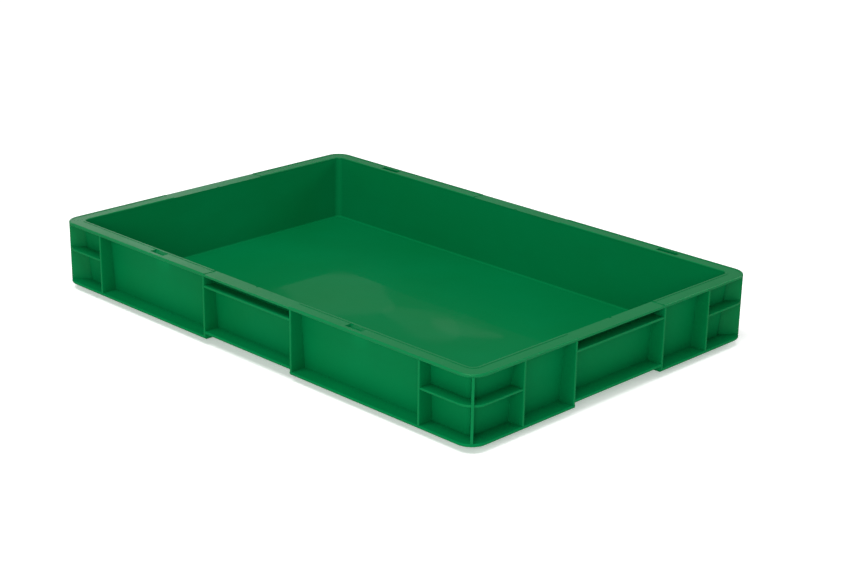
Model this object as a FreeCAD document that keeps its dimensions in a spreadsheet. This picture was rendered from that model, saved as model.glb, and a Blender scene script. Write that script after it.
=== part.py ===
"""Shallow stacking crate with a 600 x 400 mm footprint, moulded in one shot from polypropylene.

Frame: millimetres, X along the length, Y along the width, +Z up, origin at the centre of the base.
The crate is one moulding.  It is described here region by region, and the regions meet face to face.
"""
import FreeCAD, Part
import os
import Sketcher

# Driving dimensions, all in millimetres.
SIZES = {
    "outer_length": 600,        # across the rim
    "outer_width": 400,
    "overall_height": 75,       # from the foot of the tub to the top of the rim
    "outer_corner": 18,         # plan radius of the rim's outer corners
    "rim_width": 16,
    "rim_thickness": 3,
    "rim_outer_round": 1.4,
    "rim_inner_round": 1.0,
    "rim_under_round": 0.5,
    "rim_lip": 3,               # flat lip left along each edge of the dished rim top
    "rim_dish": 0.35,
    "rim_dip": 0.7,             # how far the rim top drops over each hand hold
    "wall_thickness": 2.8,
    "wall_lean": 5,             # inward lean of the walls from rim to base
    "inner_corner": 6.5,        # plan radius of the inside corners
    "floor_top": 3.2,
    "floor_relief": 0.8,        # the floor panel clears the ground by this much
    "floor_edge": 12,           # strip of floor that belongs to each wall
    "cove_radius": 2,
    "foot_round": 4,
    "stack_depth": 6.2,           # how far the foot drops into the rim of the crate below
    "skirt_taper": 0.3,           # inward lean of the rib edges over their height
    "base_thickness": 3.5,
    "base_under_round": 2.2,
    "base_over_round": 0.8,
    "base_lift": 5,             # height of the finger gap under each middle bay
    "rib_thickness": 2.5,
    "rib_round": 0.7,
    "middle_rib": 64.3,           # ribs that frame the middle bay of every side
    "long_side_rib": 234,       # outer ribs of the two long sides
    "short_side_rib": 133.5,    # outer ribs of the two short sides
    "belt_top": 45.9,
    "belt_thickness": 2.2,
    "belt_setback": 0.8,
    "grip_top": 62.7,
    "grip_thickness": 2.4,
    "grip_setback": 0.5,
    "front_slot_length": 21,
    "front_slot_width": 7.6,
    "front_slot_inset": 9.2,    # from the rim's outer edge to the middle of a slot
    "front_slot_place": 144.5,
    "back_slot_length": 26,
    "back_slot_width": 6.2,
    "back_slot_inset": 8.6,
    "back_slot_place": 203,
    "notch_radius": 1.8,
    "notch_depth": 1.2,
}
CLEAR = 30                      # how far a cutting box reaches past the crate
TOLERANCE = 1e-4
SIGN_NAMES = {"x": {-1: "left", 1: "right"}, "y": {-1: "front", 1: "back"}}

doc = FreeCAD.newDocument("StackingCrate")
sheet = doc.addObject("Spreadsheet::Sheet", "Sizes")
for row, (alias, number) in enumerate(SIZES.items(), start=1):
    sheet.set(f"A{row}", alias)
    sheet.set(f"B{row}", str(number))
    sheet.setAlias(f"B{row}", alias)
doc.recompute()


def cell(alias):
    """Expression that reads one driving dimension."""
    return f"Sizes.{alias}"


def leaned(top, lean, height):
    """Expression for a half size at a height, on a face that leans in by lean from rim to base."""
    return f"({top} - {lean} * ({RIM_UNDER} - ({height})) / {RIM_UNDER})"


def tapered(top, height):
    """Expression for a half size at a height on the tapered line of the rib edges."""
    fall = f"({RIM_UNDER} - ({height})) / ({RIM_UNDER} - {cell('stack_depth')})"
    return f"({top} - {cell('skirt_taper')} * {fall})"


ZERO = "0"
RIM_UNDER = f"({cell('overall_height')} - {cell('rim_thickness')})"
HALF_LENGTH = f"({cell('outer_length')} / 2)"
HALF_WIDTH = f"({cell('outer_width')} / 2)"
INNER_LENGTH = f"({HALF_LENGTH} - {cell('rim_width')})"
INNER_WIDTH = f"({HALF_WIDTH} - {cell('rim_width')})"
SHELL_LENGTH = f"({INNER_LENGTH} + {cell('wall_thickness')})"
SHELL_WIDTH = f"({INNER_WIDTH} + {cell('wall_thickness')})"
SHELL_CORNER = f"({cell('inner_corner')} + {cell('wall_thickness')})"
BASE_TOP = f"({cell('stack_depth')} + {cell('base_thickness')})"
LIFTED_UNDER = f"({cell('stack_depth')} + {cell('base_lift')})"
HALF_RIB = f"({cell('rib_thickness')} / 2)"
BAY_HALF = f"({cell('middle_rib')} - {HALF_RIB})"
FLOOR_LENGTH = f"({INNER_LENGTH} - {cell('floor_edge')})"
FLOOR_WIDTH = f"({INNER_WIDTH} - {cell('floor_edge')})"


def origin_plane(body, role):
    """One of the body's own origin planes."""
    for feature in body.Origin.OriginFeatures:
        if feature.Role == role:
            return feature
    raise RuntimeError(f"{body.Label} has no {role}")


def new_body(label):
    body = doc.addObject("PartDesign::Body", label)
    body.Label = label
    return body


def new_sketch(body, name, role, offset):
    """A sketch on one of the body's origin planes, moved along its normal by an expression."""
    sketch = body.newObject("Sketcher::SketchObject", name)
    sketch.AttachmentSupport = (origin_plane(body, role), [""])
    sketch.MapMode = "FlatFace"
    sketch.setExpression("AttachmentOffset.Base.z", offset)
    return sketch


def place_point(sketch, geometry, end, across, up, name):
    """Drive one end point of a line from the sketch origin by two expressions."""
    for kind, expression in (("DistanceX", across), ("DistanceY", up)):
        if expression is None:
            continue
        point = sketch.getPoint(geometry, end)
        now = point.x if kind == "DistanceX" else point.y
        sketch.addConstraint(Sketcher.Constraint(kind, -1, 1, geometry, end, now))
        label = f"{name}_{kind}"
        sketch.renameConstraint(sketch.ConstraintCount - 1, label)
        sketch.setExpression(f"Constraints.{label}", expression)


def draw_polygon(sketch, corners):
    """Closed polygon; every corner is a pair of expressions and a rough place to start from."""
    first = sketch.GeometryCount
    count = len(corners)
    rough = [FreeCAD.Vector(corner[2], corner[3], 0) for corner in corners]
    for index in range(count):
        line = Part.LineSegment(rough[index], rough[(index + 1) % count])
        sketch.addGeometry(line, False)
    for index in range(count):
        here = first + index
        there = first + (index + 1) % count
        sketch.addConstraint(Sketcher.Constraint("Coincident", here, 2, there, 1))
    for index, (across, up, _x, _y) in enumerate(corners):
        place_point(sketch, first + index, 1, across, up, f"corner_{first + index}")


def draw_rectangle(sketch, left, right, low, high, rough):
    """Rectangle between four expressions, started from rough numbers (left, right, low, high)."""
    corners = [
        (left, low, rough[0], rough[2]),
        (right, low, rough[1], rough[2]),
        (right, high, rough[1], rough[3]),
        (left, high, rough[0], rough[3]),
    ]
    draw_polygon(sketch, corners)


def draw_rounded_rectangle(sketch, half_length, half_width, radius):
    """Rectangle centred on the sketch origin with four equal round corners."""
    first = sketch.GeometryCount
    x, y, r = 290.0, 190.0, 10.0
    point = FreeCAD.Vector
    sides = [
        (point(-x + r, -y, 0), point(x - r, -y, 0)),
        (point(x, -y + r, 0), point(x, y - r, 0)),
        (point(x - r, y, 0), point(-x + r, y, 0)),
        (point(-x, y - r, 0), point(-x, -y + r, 0)),
    ]
    centres = [(x - r, -y + r, 270), (x - r, y - r, 0), (-x + r, y - r, 90), (-x + r, -y + r, 180)]
    for start, end in sides:
        sketch.addGeometry(Part.LineSegment(start, end), False)
    for centre_x, centre_y, start in centres:
        circle = Part.Circle(point(centre_x, centre_y, 0), point(0, 0, 1), r)
        begin = FreeCAD.Units.Quantity(f"{start} deg").getValueAs("rad").Value
        finish = FreeCAD.Units.Quantity(f"{start + 90} deg").getValueAs("rad").Value
        sketch.addGeometry(Part.ArcOfCircle(circle, begin, finish), False)
    for index in range(4):
        side = first + index
        arc = first + 4 + index
        following = first + (index + 1) % 4
        sketch.addConstraint(Sketcher.Constraint("Tangent", side, 2, arc, 1))
        sketch.addConstraint(Sketcher.Constraint("Tangent", arc, 2, following, 1))
        straight = "Horizontal" if index % 2 == 0 else "Vertical"
        sketch.addConstraint(Sketcher.Constraint(straight, side))
        if index:
            sketch.addConstraint(Sketcher.Constraint("Equal", first + 4, arc))
    sketch.addConstraint(Sketcher.Constraint("Radius", first + 4, r))
    name = f"radius_{first}"
    sketch.renameConstraint(sketch.ConstraintCount - 1, name)
    sketch.setExpression(f"Constraints.{name}", radius)
    place_point(sketch, first, 1, None, f"-{half_width}", f"front_{first}")
    place_point(sketch, first + 1, 1, half_length, None, f"right_{first}")
    place_point(sketch, first + 2, 1, None, half_width, f"back_{first}")
    place_point(sketch, first + 3, 1, f"-{half_length}", None, f"left_{first}")


def outline(body, name, height, half_length, half_width, radius):
    """Sketch of a rounded rectangle at a height."""
    sketch = new_sketch(body, name, "XY_Plane", height)
    draw_rounded_rectangle(sketch, half_length, half_width, radius)
    return sketch


def loft(body, kind, name, low, high):
    """Ruled loft between two outlines, added to the body or taken from it."""
    feature = body.newObject(f"PartDesign::{kind}Loft", name)
    feature.Profile = low
    feature.Sections = [high]
    feature.Ruled = True
    doc.recompute()
    return feature


def pad(body, name, sketch, length, both_ways=False):
    feature = body.newObject("PartDesign::Pad", name)
    feature.Profile = sketch
    feature.setExpression("Length", length)
    feature.Midplane = both_ways
    doc.recompute()
    return feature


def pocket(body, name, sketch, depth):
    """Cut downwards from the sketch, and make sure that it removed something."""
    before = body.Shape.Volume
    feature = body.newObject("PartDesign::Pocket", name)
    feature.Profile = sketch
    feature.setExpression("Length", depth)
    doc.recompute()
    if body.Shape.Volume >= before - TOLERANCE:
        raise RuntimeError(f"{name} removed nothing")
    return feature


def edges_at(shape, height, within=None):
    """Names of the edges that lie at a height, all of them or only those within a half size."""
    names = []
    for index, edge in enumerate(shape.Edges, start=1):
        box = edge.BoundBox
        level = abs(box.ZMin - height) < TOLERANCE and abs(box.ZMax - height) < TOLERANCE
        inside = True
        if within is not None:
            inside = box.XMax < within[0] and box.YMax < within[1]
            inside = inside and box.XMin > -within[0] and box.YMin > -within[1]
        if level and inside:
            names.append(f"Edge{index}")
    if not names:
        raise RuntimeError(f"no edge at {height}")
    return names


def round_edges(body, name, base, names, radius):
    feature = body.newObject("PartDesign::Fillet", name)
    feature.Base = (base, names)
    feature.setExpression("Radius", radius)
    doc.recompute()
    return feature


def size(alias):
    """Value of one driving dimension, for picking edges."""
    return float(sheet.get(alias))


def shell_outline(body, name, height):
    """Outside of the tub at a height: the walls lean in towards the base."""
    half_length = leaned(SHELL_LENGTH, cell("wall_lean"), height)
    half_width = leaned(SHELL_WIDTH, cell("wall_lean"), height)
    return outline(body, name, height, half_length, half_width, SHELL_CORNER)


def cavity_outline(body, name, height):
    """Inside of the tub at a height."""
    half_length = leaned(INNER_LENGTH, cell("wall_lean"), height)
    half_width = leaned(INNER_WIDTH, cell("wall_lean"), height)
    return outline(body, name, height, half_length, half_width, cell("inner_corner"))


def make_tub_block():
    """The tub's outside as a solid block, which trims everything that meets the walls."""
    body = new_body("tub_block")
    low = shell_outline(body, "block_low", ZERO)
    high = shell_outline(body, "block_high", RIM_UNDER)
    loft(body, "Additive", "block_loft", low, high)
    return body


def make_tub():
    """Open tub: leaning walls, round corners, a flat floor and a cove where they meet."""
    body = new_body("tub")
    low = shell_outline(body, "tub_low", ZERO)
    high = shell_outline(body, "tub_high", RIM_UNDER)
    loft(body, "Additive", "tub_outside", low, high)
    floor = cavity_outline(body, "tub_floor", cell("floor_top"))
    mouth = cavity_outline(body, "tub_mouth", RIM_UNDER)
    hollow = loft(body, "Subtractive", "tub_inside", floor, mouth)
    cove = edges_at(hollow.Shape, size("floor_top"))
    coved = round_edges(body, "tub_cove", hollow, cove, cell("cove_radius"))
    foot = edges_at(coved.Shape, 0)
    round_edges(body, "tub_foot", coved, foot, cell("foot_round"))
    return body


def make_rim():
    """Flat rim all round the mouth, with its slots, inner notches and lowered hand holds."""
    body = new_body("rim")
    plate = outline(body, "rim_outline", RIM_UNDER, HALF_LENGTH, HALF_WIDTH, cell("outer_corner"))
    solid = pad(body, "rim_plate", plate, cell("rim_thickness"))
    top = edges_at(solid.Shape, size("overall_height"))
    topped = round_edges(body, "rim_edge", solid, top, cell("rim_outer_round"))
    under = edges_at(topped.Shape, size("overall_height") - size("rim_thickness"))
    round_edges(body, "rim_under_edge", topped, under, cell("rim_under_round"))
    above = cell("overall_height")
    mouth = outline(body, "rim_mouth", above, INNER_LENGTH, INNER_WIDTH, cell("inner_corner"))
    ring = pocket(body, "rim_opening", mouth, f"2 * {cell('rim_thickness')}")
    within = (size("outer_length") / 2 - size("rim_width") + 1, size("outer_width") / 2 - size("rim_width") + 1)
    inner = edges_at(ring.Shape, size("overall_height"), within)
    round_edges(body, "rim_inner_edge", ring, inner, cell("rim_inner_round"))
    dish = new_sketch(body, "dish_outline", "XY_Plane", above)
    lip = cell("rim_lip")
    for side_length, side_width, corner in (
        (f"({HALF_LENGTH} - {lip})", f"({HALF_WIDTH} - {lip})", f"{cell('outer_corner')} - {lip}"),
        (f"({INNER_LENGTH} + {lip})", f"({INNER_WIDTH} + {lip})", f"{cell('inner_corner')} + {lip}"),
    ):
        draw_rounded_rectangle(dish, side_length, side_width, corner)
    pocket(body, "rim_dish", dish, cell("rim_dish"))
    dips = new_sketch(body, "dip_outline", "XY_Plane", above)
    for side in (-1, 1):
        rough = sorted((side * 180.0, side * 210.0))
        low, high = f"{INNER_WIDTH} - 1", f"{HALF_WIDTH} + 1"
        if side < 0:
            low, high = f"-({HALF_WIDTH} + 1)", f"-({INNER_WIDTH} - 1)"
        draw_rectangle(dips, f"-{BAY_HALF}", BAY_HALF, low, high, (-60.0, 60.0, *rough))
        rough = sorted((side * 280.0, side * 310.0))
        left, right = f"{INNER_LENGTH} - 1", f"{HALF_LENGTH} + 1"
        if side < 0:
            left, right = f"-({HALF_LENGTH} + 1)", f"-({INNER_LENGTH} - 1)"
        draw_rectangle(dips, left, right, f"-{BAY_HALF}", BAY_HALF, (*rough, -60.0, 60.0))
    pocket(body, "rim_dips", dips, cell("rim_dip"))
    slots = new_sketch(body, "slot_outline", "XY_Plane", above)
    for depth_side, name in ((-1, "front"), (1, "back")):
        for side in (-1, 1):
            middle = f"{side} * {cell(name + '_slot_place')}"
            half = f"{cell(name + '_slot_length')} / 2"
            row = f"{depth_side} * ({HALF_WIDTH} - {cell(name + '_slot_inset')})"
            reach = f"{cell(name + '_slot_width')} / 2"
            x, y = side * 150.0, depth_side * 190.0
            rough = (x - 10, x + 10, y - 4, y + 4)
            draw_rectangle(slots, f"{middle} - {half}", f"{middle} + {half}",
                           f"{row} - {reach}", f"{row} + {reach}", rough)
    pocket(body, "rim_slots", slots, f"2 * {cell('rim_thickness')}")
    notches = new_sketch(body, "notch_outline", "XY_Plane", above)
    for across, up, x, y in (
        (ZERO, INNER_WIDTH, 0, 184), (ZERO, f"-{INNER_WIDTH}", 0, -184),
        (INNER_LENGTH, ZERO, 284, 0), (f"-{INNER_LENGTH}", ZERO, -284, 0),
    ):
        number = notches.GeometryCount
        circle = Part.Circle(FreeCAD.Vector(x, y, 0), FreeCAD.Vector(0, 0, 1), 2)
        notches.addGeometry(circle, False)
        notches.addConstraint(Sketcher.Constraint("Radius", number, 2))
        name = f"notch_{number}"
        notches.renameConstraint(notches.ConstraintCount - 1, name)
        notches.setExpression(f"Constraints.{name}", cell("notch_radius"))
        place_point(notches, number, 3, across, up, f"centre_{number}")
    pocket(body, "rim_notches", notches, f"{cell('rim_dip')} + {cell('notch_depth')}")
    return body


def make_base_plate(label, under):
    """Thin plate with the tapered outline of the base, rounded along its edge."""
    body = new_body(label)
    middle = f"({under} + {cell('base_thickness')} / 2)"
    corner = f"{cell('outer_corner')} - {cell('skirt_taper')} / 2"
    half_length, half_width = tapered(HALF_LENGTH, middle), tapered(HALF_WIDTH, middle)
    sketch = outline(body, f"{label}_outline", under, half_length, half_width, corner)
    plate = pad(body, f"{label}_pad", sketch, cell("base_thickness"))
    box = plate.Shape.BoundBox
    low_height, high_height = box.ZMin, box.ZMax
    lower = round_edges(body, f"{label}_under", plate, edges_at(plate.Shape, low_height),
                        cell("base_under_round"))
    round_edges(body, f"{label}_over", lower, edges_at(lower.Shape, high_height),
                cell("base_over_round"))
    return body


def make_belt_plate():
    """Thin plate at the height of the corner belts, set back a little from the rib edges."""
    body = new_body("belt_plate")
    over = cell("belt_top")
    under = f"({over} - {cell('belt_thickness')})"
    half_length = f"({tapered(HALF_LENGTH, over)} - {cell('belt_setback')})"
    half_width = f"({tapered(HALF_WIDTH, over)} - {cell('belt_setback')})"
    corner = f"{cell('outer_corner')} - {cell('belt_setback')}"
    plate = outline(body, "belt_outline", under, half_length, half_width, corner)
    solid = pad(body, "belt_pad", plate, cell("belt_thickness"))
    over_edges = edges_at(solid.Shape, size("belt_top"))
    over_round = round_edges(body, "belt_over", solid, over_edges, cell("rib_round"))
    under_edges = edges_at(over_round.Shape, size("belt_top") - size("belt_thickness"))
    round_edges(body, "belt_under", over_round, under_edges, cell("rib_round"))
    return body


def boolean(kind, name, base, tool):
    """Part::Cut or Part::Common of two objects."""
    feature = doc.addObject(f"Part::{kind}", name)
    feature.Base = base
    feature.Tool = tool
    return feature


def region(name, x_low, x_high, y_low, y_high, z_low, z_high):
    """Box between six expressions."""
    box = doc.addObject("Part::Box", name)
    for low, high, length, base in (
        (x_low, x_high, "Length", "x"),
        (y_low, y_high, "Width", "y"),
        (z_low, z_high, "Height", "z"),
    ):
        box.setExpression(length, f"{high} - ({low})")
        box.setExpression(f"Placement.Base.{base}", low)
    return box


def span(side, near, far):
    """The interval from near to far on one side of the middle, as two expressions."""
    if side > 0:
        return near, far
    return f"-({far})", f"-({near})"


def finish(name, feature):
    """Keep an object as the sub-part with this name."""
    feature.Label = name
    parts[name] = feature
    return feature


def make_wall(name, axis, side):
    """Straight wall: leaning sheet, cove and the strip of floor beside it, as one long section."""
    body = new_body(name)
    if axis == "y":
        inner, shell, run, plane, rough = INNER_WIDTH, SHELL_WIDTH, FLOOR_LENGTH, "YZ_Plane", 184.0
    else:
        inner, shell, run, plane, rough = INNER_LENGTH, SHELL_LENGTH, FLOOR_WIDTH, "XZ_Plane", 284.0
    sketch = new_sketch(body, f"{name}_section", plane, ZERO)
    lean = cell("wall_lean")
    corners = (
        (leaned(shell, lean, ZERO), ZERO, rough - 2, 0.0),
        (shell, RIM_UNDER, rough + 3, 72.0),
        (inner, RIM_UNDER, rough, 72.0),
        (leaned(inner, lean, cell("floor_top")), cell("floor_top"), rough - 5, 3.0),
        (f"({inner} - {cell('floor_edge')})", cell("floor_top"), rough - 12, 3.0),
        (f"({inner} - {cell('floor_edge')})", ZERO, rough - 12, 0.0),
    )
    draw_polygon(sketch, [(f"{side} * {a}", up, side * x, y) for a, up, x, y in corners])
    wall = pad(body, f"{name}_pad", sketch, f"2 * {run}", True)
    inner_foot = rough - size("wall_lean")
    cove = long_edges(wall.Shape, axis, size("floor_top"), inner_foot - 1, inner_foot + 1)
    coved = round_edges(body, f"{name}_cove", wall, cove, cell("cove_radius"))
    foot = long_edges(coved.Shape, axis, 0, inner_foot + 1, rough)
    round_edges(body, f"{name}_foot", coved, foot, cell("foot_round"))
    return finish(name, body)


def long_edges(shape, axis, height, near, far):
    """Names of the edges along a wall at a height, between two distances from the middle."""
    names = []
    for index, edge in enumerate(shape.Edges, start=1):
        points = [vertex.Point for vertex in edge.Vertexes]
        out = [abs(point.y if axis == "y" else point.x) for point in points]
        level = max(abs(point.z - height) for point in points) < TOLERANCE
        if level and edge.Length > 4 * CLEAR and near < min(out) and max(out) < far:
            names.append(f"Edge{index}")
    if len(names) != 1:
        raise RuntimeError(f"{len(names)} edges at {height} between {near} and {far}")
    return names


def make_tub_parts(tub):
    """Floor panel, four walls and four corner walls."""
    ground, mouth = f"-{CLEAR}", f"({RIM_UNDER} + {CLEAR})"
    far_length, far_width = f"({HALF_LENGTH} + {CLEAR})", f"({HALF_WIDTH} + {CLEAR})"
    panel = region("floor_region", f"-{FLOOR_LENGTH}", FLOOR_LENGTH, f"-{FLOOR_WIDTH}", FLOOR_WIDTH,
                   cell("floor_relief"), mouth)
    finish("floor_panel", boolean("Common", "floor_panel", tub, panel))
    for side in (-1, 1):
        make_wall(f"wall_{SIGN_NAMES['y'][side]}", "y", side)
        make_wall(f"wall_{SIGN_NAMES['x'][side]}", "x", side)
    for side_y in (-1, 1):
        for side_x in (-1, 1):
            x_low, x_high = span(side_x, FLOOR_LENGTH, far_length)
            y_low, y_high = span(side_y, FLOOR_WIDTH, far_width)
            name = f"corner_wall_{corner_name(side_x, side_y)}"
            box = region(f"{name}_region", x_low, x_high, y_low, y_high, ground, mouth)
            finish(name, boolean("Common", name, tub, box))


def corner_name(side_x, side_y):
    return f"{SIGN_NAMES['y'][side_y]}_{SIGN_NAMES['x'][side_x]}"


def make_rim_parts(rim):
    """Rim rails: the long ones take the round corners, the short ones run between them."""
    low, high = RIM_UNDER, f"{cell('overall_height')} + {CLEAR}"
    far_length, far_width = f"({HALF_LENGTH} + {CLEAR})", f"({HALF_WIDTH} + {CLEAR})"
    split = f"({HALF_WIDTH} - {cell('outer_corner')} - {cell('inner_corner')})"
    for side in (-1, 1):
        y_low, y_high = span(side, split, far_width)
        name = f"rim_{SIGN_NAMES['y'][side]}"
        box = region(f"{name}_region", f"-({far_length})", far_length, y_low, y_high, low, high)
        finish(name, boolean("Common", name, rim, box))
        x_low, x_high = span(side, ZERO, far_length)
        name = f"rim_{SIGN_NAMES['x'][side]}"
        box = region(f"{name}_region", x_low, x_high, f"-{split}", split, low, high)
        finish(name, boolean("Common", name, rim, box))


def make_base_parts(low_plate, lifted_plate, tub_block):
    """Base flange: two low stretches and one lifted stretch on every side."""
    low_ring = boolean("Cut", "low_ring", low_plate, tub_block)
    lifted_ring = boolean("Cut", "lifted_ring", lifted_plate, tub_block)
    ground, top = f"-{CLEAR}", RIM_UNDER
    far_length, far_width = f"({HALF_LENGTH} + {CLEAR})", f"({HALF_WIDTH} + {CLEAR})"
    split = f"({HALF_WIDTH} - {cell('outer_corner')})"
    for side in (-1, 1):
        y_low, y_high = span(side, split, far_width)
        x_low, x_high = span(side, ZERO, far_length)
        for along in (-1, 1):
            near, far = span(along, BAY_HALF, far_length)
            name = f"base_{SIGN_NAMES['y'][side]}_{SIGN_NAMES['x'][along]}"
            box = region(f"{name}_region", near, far, y_low, y_high, ground, top)
            finish(name, boolean("Common", name, low_ring, box))
            near, far = span(along, BAY_HALF, split)
            name = f"base_{SIGN_NAMES['x'][side]}_{SIGN_NAMES['y'][along]}"
            box = region(f"{name}_region", x_low, x_high, near, far, ground, top)
            finish(name, boolean("Common", name, low_ring, box))
        name = f"base_{SIGN_NAMES['y'][side]}_middle"
        box = region(f"{name}_region", f"-{BAY_HALF}", BAY_HALF, y_low, y_high, ground, top)
        finish(name, boolean("Common", name, lifted_ring, box))
        name = f"base_{SIGN_NAMES['x'][side]}_middle"
        box = region(f"{name}_region", x_low, x_high, f"-{BAY_HALF}", BAY_HALF, ground, top)
        finish(name, boolean("Common", name, lifted_ring, box))


def make_side_rib(name, axis, side, place):
    """Upright rib between base flange and rim; its inner edge follows the leaning wall."""
    body = new_body(name)
    half = HALF_WIDTH if axis == "y" else HALF_LENGTH
    shell = SHELL_WIDTH if axis == "y" else SHELL_LENGTH
    plane = "YZ_Plane" if axis == "y" else "XZ_Plane"
    offset = place if axis == "y" else f"-({place})"
    sketch = new_sketch(body, f"{name}_outline", plane, offset)
    outer = 200.0 if axis == "y" else 300.0
    corners = []
    for height, rough_height, edge, rough in (
        (BASE_TOP, 9.0, "wall", outer - 17), (BASE_TOP, 9.0, "free", outer - 2),
        (RIM_UNDER, 72.0, "free", outer), (RIM_UNDER, 72.0, "wall", outer - 13),
    ):
        across = leaned(shell, cell("wall_lean"), height) if edge == "wall" else tapered(half, height)
        corners.append((f"{side} * {across}", height, side * rough, rough_height))
    draw_polygon(sketch, corners)
    rib = pad(body, f"{name}_pad", sketch, cell("rib_thickness"), True)
    free = []
    for index, edge in enumerate(rib.Shape.Edges, start=1):
        start, end = edge.Vertexes[0].Point, edge.Vertexes[-1].Point
        out = [abs(p.y if axis == "y" else p.x) for p in (start, end)]
        if abs(start.z - end.z) > CLEAR and min(out) > outer - size("skirt_taper") - 1:
            free.append(f"Edge{index}")
    round_edges(body, f"{name}_round", rib, free, cell("rib_round"))
    return finish(name, body)


def make_side_ribs():
    """Four ribs on every side: two outer ones and two that frame the middle bay."""
    places = {"y": cell("long_side_rib"), "x": cell("short_side_rib")}
    for axis in ("y", "x"):
        for side in (-1, 1):
            steps = ((1, -1, places[axis]), (2, -1, cell("middle_rib")),
                     (3, 1, cell("middle_rib")), (4, 1, places[axis]))
            for number, sign, place in steps:
                name = f"rib_{SIGN_NAMES[axis][side]}_{number}"
                make_side_rib(name, axis, side, f"{sign} * {place}")


def corner_turn(side_x, side_y):
    """Turn about Z that points local +X out through a corner."""
    turns = {(1, -1): -45, (1, 1): 45, (-1, 1): 135, (-1, -1): 225}
    return turns[(side_x, side_y)]


def place_diagonal(feature, side_x, side_y, sideways):
    """Set a box on the diagonal of a corner, shifted sideways from it by an expression."""
    turn = corner_turn(side_x, side_y)
    feature.Placement.Rotation = FreeCAD.Rotation(FreeCAD.Vector(0, 0, 1), turn)
    reach = f"({HALF_LENGTH} - {cell('outer_corner')} - {CLEAR})"
    start_x = f"{side_x} * {reach}"
    start_y = f"{side_y} * ({HALF_WIDTH} - {cell('outer_corner')} - {CLEAR})"
    shift_x = f"({sideways}) * sin({-turn} deg)"
    shift_y = f"({sideways}) * cos({turn} deg)"
    feature.setExpression("Placement.Base.x", f"{start_x} + {shift_x}")
    feature.setExpression("Placement.Base.y", f"{start_y} + {shift_y}")


def make_corner_parts(belt_plate, tub_block):
    """Upright rib at the apex of every corner, and a belt on each side of it."""
    band = boolean("Cut", "belt_band", belt_plate, tub_block)
    envelope = new_body("rib_envelope")
    corner = cell("outer_corner")
    low = outline(envelope, "envelope_low", BASE_TOP, tapered(HALF_LENGTH, BASE_TOP),
                  tapered(HALF_WIDTH, BASE_TOP), f"{corner} - {cell('skirt_taper')} / 2")
    high = outline(envelope, "envelope_high", RIM_UNDER, HALF_LENGTH, HALF_WIDTH, corner)
    loft(envelope, "Additive", "envelope_loft", low, high)
    skirt_space = boolean("Cut", "skirt_space", envelope, tub_block)
    far_length, far_width = f"({HALF_LENGTH} + {CLEAR})", f"({HALF_WIDTH} + {CLEAR})"
    for side_y in (-1, 1):
        for side_x in (-1, 1):
            tag = corner_name(side_x, side_y)
            blade = doc.addObject("Part::Box", f"blade_{tag}")
            blade.Length = 4 * CLEAR
            blade.setExpression("Width", cell("rib_thickness"))
            blade.setExpression("Height", RIM_UNDER)
            place_diagonal(blade, side_x, side_y, f"-{HALF_RIB}")
            name = f"corner_rib_{tag}"
            finish(name, boolean("Common", name, skirt_space, blade))
            x_low, x_high = span(side_x, f"{cell('long_side_rib')} + {HALF_RIB}", far_length)
            y_low, y_high = span(side_y, f"{cell('short_side_rib')} + {HALF_RIB}", far_width)
            box = region(f"belt_region_{tag}", x_low, x_high, y_low, y_high, cell("stack_depth"), RIM_UNDER)
            strip = boolean("Common", f"belt_strip_{tag}", band, box)
            for turn_side in (-1, 1):
                half = doc.addObject("Part::Box", f"half_{tag}_{turn_side + 1}")
                half.Length = 4 * CLEAR
                half.Width = 4 * CLEAR
                half.setExpression("Height", RIM_UNDER)
                sideways = HALF_RIB if turn_side > 0 else f"-{HALF_RIB} - {4 * CLEAR}"
                place_diagonal(half, side_x, side_y, sideways)
                on_short_side = turn_side * side_x * side_y < 0
                short_name = f"belt_{SIGN_NAMES['x'][side_x]}_{SIGN_NAMES['y'][side_y]}"
                name = short_name if on_short_side else f"belt_{tag}"
                finish(name, boolean("Common", name, strip, half))


def make_grips(tub_block):
    """Level fin under the rim of every middle bay, between its two ribs."""
    over = cell("grip_top")
    under = f"({over} - {cell('grip_thickness')})"
    for axis, half, shell in (("y", HALF_WIDTH, SHELL_WIDTH), ("x", HALF_LENGTH, SHELL_LENGTH)):
        for side in (-1, 1):
            name = f"grip_{SIGN_NAMES[axis][side]}"
            body = new_body(f"{name}_blank")
            sketch = new_sketch(body, f"{name}_outline", "XY_Plane", under)
            near = f"({shell} - {cell('wall_lean')})"
            far = f"({tapered(half, over)} - {cell('grip_setback')})"
            low, high = span(side, near, far)
            outer = 200.0 if axis == "y" else 300.0
            rough = sorted((side * (outer - 18), side * (outer - 1)))
            if axis == "y":
                draw_rectangle(sketch, f"-{BAY_HALF}", BAY_HALF, low, high, (-60.0, 60.0, *rough))
            else:
                draw_rectangle(sketch, low, high, f"-{BAY_HALF}", BAY_HALF, (*rough, -60.0, 60.0))
            fin = pad(body, f"{name}_pad", sketch, cell("grip_thickness"))
            free = []
            for index, edge in enumerate(fin.Shape.Edges, start=1):
                points = [vertex.Point for vertex in edge.Vertexes]
                out = [abs(p.y if axis == "y" else p.x) for p in points]
                if abs(points[0].z - points[-1].z) < TOLERANCE and min(out) > outer - 5:
                    free.append(f"Edge{index}")
            round_edges(body, f"{name}_round", fin, free, cell("rib_round"))
            finish(name, boolean("Cut", name, body, tub_block))


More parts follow.
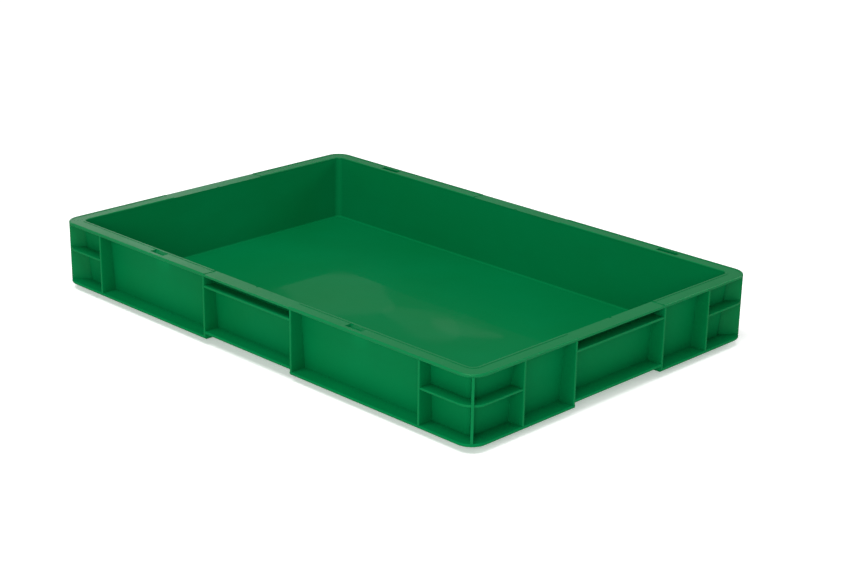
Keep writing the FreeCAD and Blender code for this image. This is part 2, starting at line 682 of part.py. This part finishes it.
def check_and_write():
    """Refuse any failed or empty object, then write every sub-part."""
    doc.recompute()
    for item in doc.Objects:
        if "Invalid" in item.State or "Error" in item.State:
            raise RuntimeError(f"{item.Label} failed: {item.State}")
    for name, item in parts.items():
        shape = item.Shape
        if shape.isNull() or not shape.isValid() or len(shape.Solids) != 1:
            raise RuntimeError(f"{name} is not one valid solid: {len(shape.Solids)} solids")
    os.makedirs("parts", exist_ok=True)
    for name, item in parts.items():
        item.Shape.exportStep(f"parts/{name}.step")
        print(f"{name}: {item.Shape.Volume / 1000:.2f} cm3")
    print(f"{len(parts)} sub-parts")


parts = {}
block = make_tub_block()
make_tub_parts(make_tub())
make_rim_parts(make_rim())
low_base = make_base_plate("low_base", cell("stack_depth"))
lifted_base = make_base_plate("lifted_base", LIFTED_UNDER)
make_base_parts(low_base, lifted_base, block)
make_side_ribs()
make_corner_parts(make_belt_plate(), block)
make_grips(block)
check_and_write()
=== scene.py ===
import math

import bpy
from mathutils import Matrix, Quaternion, Vector


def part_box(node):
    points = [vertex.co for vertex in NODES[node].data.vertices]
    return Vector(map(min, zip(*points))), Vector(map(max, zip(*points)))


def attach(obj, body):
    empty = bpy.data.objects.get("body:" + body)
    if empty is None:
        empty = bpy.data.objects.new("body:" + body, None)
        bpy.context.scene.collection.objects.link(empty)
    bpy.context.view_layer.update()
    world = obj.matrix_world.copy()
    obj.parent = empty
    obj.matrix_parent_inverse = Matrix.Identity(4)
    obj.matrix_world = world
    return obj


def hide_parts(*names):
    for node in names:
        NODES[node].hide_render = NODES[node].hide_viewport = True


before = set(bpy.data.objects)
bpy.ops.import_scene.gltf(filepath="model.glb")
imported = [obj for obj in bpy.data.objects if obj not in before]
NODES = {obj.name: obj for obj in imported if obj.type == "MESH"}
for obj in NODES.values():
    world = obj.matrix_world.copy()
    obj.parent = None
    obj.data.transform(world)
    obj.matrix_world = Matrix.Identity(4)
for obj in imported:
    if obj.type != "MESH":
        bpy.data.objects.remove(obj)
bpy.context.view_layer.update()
MM = 0.001
WHITE = (1.0, 1.0, 1.0, 1.0)

# The camera stands off the front right corner and looks down on the crate.
CAMERA_AZIMUTH = math.radians(44.46)
CAMERA_ELEVATION = math.radians(19.56)
CAMERA_ROLL = math.radians(0.95)
CAMERA_TARGET = Vector((-34.27, 79.83, 5.0)) * MM
CAMERA_DISTANCE = 2005.39 * MM
CAMERA_LENS = 78.68
CAMERA_SENSOR = 36.0
CAMERA_CLIP = (0.05, 100.0)

# Studio, in metres: softboxes near the crate light it, and far ones only show in its gloss.
NEAR = 3.0
FAR = 6.0
WORLD_STRENGTH = 0.3
FLOOR_SIZE = 60.0
FLOOR_DROP = 0.2 * MM           # keeps the studio floor just clear of the foot
PAPER = (0.9, 0.9, 0.9, 1.0)
PAPER_GLOW = 0.35

# Green of the moulding: two tones in broad clouds, and a third in thin streaks along the flow.
DEEP_GREEN = (0.0, 0.150, 0.040, 1.0)
PALE_GREEN = (0.0, 0.162, 0.048, 1.0)
STREAK_GREEN = (0.001, 0.140, 0.041, 1.0)
STREAK_SHARE = 0.35
STREAK_SCALE = (14.0, 14.0, 60.0)
POLYPROPYLENE_IOR = 1.49
GRAIN_HEIGHT = 0.06 * MM
UNEVEN_HEIGHT = 0.6 * MM
UNEVEN_STRENGTH = 0.12

# Grid of the crate's floor, and the strip along its edge where the waves fade out.
FLOOR_CELLS_X, FLOOR_CELLS_Y = 108, 68
FLOOR_FADE = 20 * MM


def make_camera():
    sin_a, cos_a = math.sin(CAMERA_AZIMUTH), math.cos(CAMERA_AZIMUTH)
    sin_e, cos_e = math.sin(CAMERA_ELEVATION), math.cos(CAMERA_ELEVATION)
    back = Vector((sin_a * cos_e, -cos_a * cos_e, sin_e))
    right = Vector((cos_a, sin_a, 0.0))
    up = back.cross(right)
    across = math.cos(CAMERA_ROLL) * right + math.sin(CAMERA_ROLL) * up
    above = -math.sin(CAMERA_ROLL) * right + math.cos(CAMERA_ROLL) * up
    data = bpy.data.cameras.new("camera")
    data.lens = CAMERA_LENS
    data.sensor_width = CAMERA_SENSOR
    data.clip_start, data.clip_end = CAMERA_CLIP
    camera = bpy.data.objects.new("camera", data)
    bpy.context.scene.collection.objects.link(camera)
    turn = Matrix((across, above, back)).transposed().to_4x4()
    camera.matrix_world = Matrix.Translation(CAMERA_TARGET + back * CAMERA_DISTANCE) @ turn
    bpy.context.scene.camera = camera


def softbox(name, azimuth, elevation, distance, size, power, shape="RECTANGLE", roll=0.0):
    """Area light that faces the crate; azimuth 0 is in front, 90 to the right, both in degrees."""
    data = bpy.data.lights.new(name, "AREA")
    data.shape = shape
    data.size, data.size_y = size
    data.energy = power
    light = bpy.data.objects.new(name, data)
    bpy.context.scene.collection.objects.link(light)
    turn, rise = math.radians(azimuth), math.radians(elevation)
    outward = Vector((math.sin(turn) * math.cos(rise), -math.cos(turn) * math.cos(rise), math.sin(rise)))
    light.location = outward * distance
    light.rotation_mode = "QUATERNION"
    aim = (-outward).to_track_quat("-Z", "Y")
    light.rotation_quaternion = aim @ Quaternion((0.0, 0.0, 1.0), math.radians(roll))


class Graph:
    """New material with an empty node tree, and short ways to wire it."""

    def __init__(self, name):
        self.material = bpy.data.materials.new(name)
        self.material.use_nodes = True
        self.tree = self.material.node_tree
        self.tree.nodes.clear()

    def add(self, kind, settings=(), inputs=()):
        node = self.tree.nodes.new(kind)
        for key, value in dict(settings).items():
            setattr(node, key, value)
        for key, value in dict(inputs).items():
            if isinstance(value, bpy.types.NodeSocket):
                self.tree.links.new(value, node.inputs[key])
            else:
                node.inputs[key].default_value = value
        return node

    def noise(self, place, scale, detail, rough):
        inputs = {"Vector": place, "Scale": scale, "Detail": detail, "Roughness": rough}
        return self.add("ShaderNodeTexNoise", {"noise_dimensions": "3D"}, inputs).outputs["Fac"]

    def ranged(self, value, low, high, to_low, to_high):
        inputs = {"Value": value, "From Min": low, "From Max": high, "To Min": to_low, "To Max": to_high}
        return self.add("ShaderNodeMapRange", {"clamp": True}, inputs).outputs["Result"]

    def blend(self, factor, first, second):
        settings = {"data_type": "RGBA", "blend_type": "MIX"}
        inputs = {"Factor": factor, "A": first, "B": second}
        return self.add("ShaderNodeMix", settings, inputs).outputs["Result"]

    def finish(self, surface):
        output = self.add("ShaderNodeOutputMaterial")
        self.tree.links.new(surface, output.inputs["Surface"])
        return self.material


def make_plastic(name, roughness, specular, grain, coat=0.0, coat_roughness=0.05):
    """Moulded polypropylene: deep green with flow clouds, a fine grain and a patchy gloss."""
    graph = Graph(name)
    place = graph.add("ShaderNodeTexCoord").outputs["Object"]
    clouds = graph.noise(place, scale=9.0, detail=3.0, rough=0.55)
    stretched = graph.add("ShaderNodeMapping", {"vector_type": "POINT"},
                          {"Vector": place, "Scale": STREAK_SCALE}).outputs["Vector"]
    flow = graph.noise(stretched, scale=1.0, detail=4.0, rough=0.6)
    tone = graph.blend(graph.ranged(clouds, 0.3, 0.7, 0.0, 1.0), DEEP_GREEN, PALE_GREEN)
    shade = graph.blend(graph.ranged(flow, 0.45, 0.8, 0.0, STREAK_SHARE), tone, STREAK_GREEN)
    patches = graph.noise(place, scale=22.0, detail=4.0, rough=0.6)
    dust = graph.noise(place, scale=900.0, detail=1.0, rough=0.5)
    gloss = graph.add("ShaderNodeMath", {"operation": "ADD"}, {
        0: graph.ranged(patches, 0.3, 0.7, roughness - 0.03, roughness + 0.04),
        1: graph.ranged(dust, 0.4, 0.7, -0.01, 0.03)})
    fine = graph.noise(place, scale=1600.0, detail=2.0, rough=0.6)
    coarse = graph.noise(place, scale=60.0, detail=2.0, rough=0.5)
    grained = graph.add("ShaderNodeBump", {}, {"Strength": grain, "Distance": GRAIN_HEIGHT, "Height": fine})
    uneven = graph.add("ShaderNodeBump", {}, {
        "Strength": UNEVEN_STRENGTH, "Distance": UNEVEN_HEIGHT, "Height": coarse,
        "Normal": grained.outputs["Normal"]})
    shader = graph.add("ShaderNodeBsdfPrincipled", {}, {
        "Base Color": shade, "Roughness": gloss.outputs[0], "Normal": uneven.outputs["Normal"],
        "IOR": POLYPROPYLENE_IOR, "Specular IOR Level": specular,
        "Coat Weight": coat, "Coat Roughness": coat_roughness})
    return graph.finish(shader.outputs["BSDF"])


def dress(material, *starts):
    """Give the material to every CAD node whose name begins with one of the words."""
    for name, node in NODES.items():
        if name.startswith(starts):
            node.data.materials.clear()
            node.data.materials.append(material)


def make_floor():
    """Plain pale studio floor, clear from below so that the underside can be seen."""
    bpy.ops.mesh.primitive_plane_add(size=FLOOR_SIZE, location=(0, 0, -FLOOR_DROP))
    floor = bpy.context.object
    floor.name = "studio_floor"
    graph = Graph("studio_floor")
    paper = graph.add("ShaderNodeBsdfDiffuse", {}, {"Color": PAPER})
    glow = graph.add("ShaderNodeEmission", {}, {"Color": WHITE, "Strength": PAPER_GLOW})
    matt = graph.add("ShaderNodeAddShader", {}, {0: paper.outputs[0], 1: glow.outputs[0]})
    clear = graph.add("ShaderNodeBsdfTransparent")
    below = graph.add("ShaderNodeNewGeometry").outputs["Backfacing"]
    mixed = graph.add("ShaderNodeMixShader", {}, {0: below, 1: matt.outputs[0], 2: clear.outputs[0]})
    floor.data.materials.append(graph.finish(mixed.outputs[0]))
    floor.visible_glossy = False


def make_world():
    world = bpy.data.worlds.new("studio")
    bpy.context.scene.world = world
    world.use_nodes = True
    background = world.node_tree.nodes["Background"]
    background.inputs["Color"].default_value = WHITE
    background.inputs["Strength"].default_value = WORLD_STRENGTH


def waves(x, y):
    """Height of the floor's waves at a place, in metres."""
    swell = 0.09 * math.sin(21.0 * x + 9.0 * y + 0.4) * math.cos(17.0 * y - 4.0 * x + 0.9)
    ripple = 0.035 * math.sin(46.0 * x - 23.0 * y + 1.7) + 0.03 * math.cos(33.0 * x + 52.0 * y)
    return (swell + ripple) * MM


def floor_point(low, high, i, j):
    """Point of the floor's top face at a grid place; the waves fade out towards the edge."""
    x = low.x + (high.x - low.x) * i / FLOOR_CELLS_X
    y = low.y + (high.y - low.y) * j / FLOOR_CELLS_Y
    inset = min(x - low.x, high.x - x, y - low.y, high.y - y) / FLOOR_FADE
    fade = min(1.0, max(0.0, inset))
    fade = fade * fade * (3 - 2 * fade)
    return x, y, high.z + fade * waves(x, y)


def make_floor_sheet(material):
    """The crate's floor as a closed sheet with the slight waves that a flat moulding takes as it cools."""
    low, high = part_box("floor_panel")
    points = [floor_point(low, high, i, j) for j in range(FLOOR_CELLS_Y + 1) for i in range(FLOOR_CELLS_X + 1)]
    row = FLOOR_CELLS_X + 1
    corners = [j * row + i for j in range(FLOOR_CELLS_Y) for i in range(FLOOR_CELLS_X)]
    faces = [(a, a + 1, a + row + 1, a + row) for a in corners]
    top_faces = len(faces)
    border = list(range(row))
    border += [j * row + FLOOR_CELLS_X for j in range(1, FLOOR_CELLS_Y + 1)]
    border += [FLOOR_CELLS_Y * row + i for i in range(FLOOR_CELLS_X - 1, -1, -1)]
    border += [j * row for j in range(FLOOR_CELLS_Y - 1, 0, -1)]
    under = len(points)
    points += [(points[a][0], points[a][1], low.z) for a in border]
    count = len(border)
    for k in range(count):
        n = (k + 1) % count
        faces.append((border[n], border[k], under + k, under + n))
    faces.append(tuple(under + k for k in range(count - 1, -1, -1)))
    mesh = bpy.data.meshes.new("floor_sheet")
    mesh.from_pydata(points, [], faces)
    mesh.materials.append(material)
    sheet = bpy.data.objects.new("floor_sheet", mesh)
    bpy.context.scene.collection.objects.link(sheet)
    sharp = set(border)
    for line in mesh.edges:
        line.use_edge_sharp = sharp.issuperset(line.vertices)
    mesh.polygons.foreach_set("use_smooth", [n < top_faces for n in range(len(mesh.polygons))])
    mesh.update()
    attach(sheet, "root")
    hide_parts("floor_panel")


make_camera()
make_world()
make_floor()

softbox("front_high", 0, 66, NEAR, size=(1.5, 1.2), power=50.0)
softbox("camera_side", 37, 20, NEAR, size=(1.4, 1.0), power=34.0)
softbox("front_low", 0, 6, NEAR, size=(1.4, 0.6), power=6.0)
softbox("right_high", 90, 70, NEAR, size=(1.4, 1.0), power=20.0)
softbox("back_right", 155, 25, NEAR, size=(1.4, 1.0), power=18.0)
softbox("left_low", -80, 20, NEAR, size=(1.4, 1.0), power=7.0)
softbox("far_glow", 239, 18.5, FAR, size=(1.3, 0.9), power=6.0)
softbox("far_window", 228.0, 19.8, FAR, size=(0.51, 0.15), power=0.17, shape="ELLIPSE", roll=-8.3)
softbox("far_window_low", 224.3, 20.8, FAR, size=(0.36, 0.11), power=0.07, shape="ELLIPSE", roll=-14.0)
softbox("far_strip", 222.2, 21.1, FAR, size=(0.31, 0.04), power=0.04, shape="ELLIPSE", roll=-10.3)

rim_plastic = make_plastic("rim_plastic", roughness=0.3, specular=0.15, grain=0.25)
wall_plastic = make_plastic("wall_plastic", roughness=0.5, specular=0.02, grain=0.3)
rib_plastic = make_plastic("rib_plastic", roughness=0.4, specular=0.06, grain=0.3)
floor_plastic = make_plastic("floor_plastic", roughness=0.5, specular=0.02, grain=0.2,
                             coat=0.06, coat_roughness=0.03)
dress(wall_plastic, "wall", "corner_wall", "base")
dress(rib_plastic, "rib", "belt", "grip", "corner_rib")
dress(rim_plastic, "rim")
make_floor_sheet(floor_plastic)

view = bpy.context.scene.view_settings
view.view_transform = "Standard"
view.look = "None"
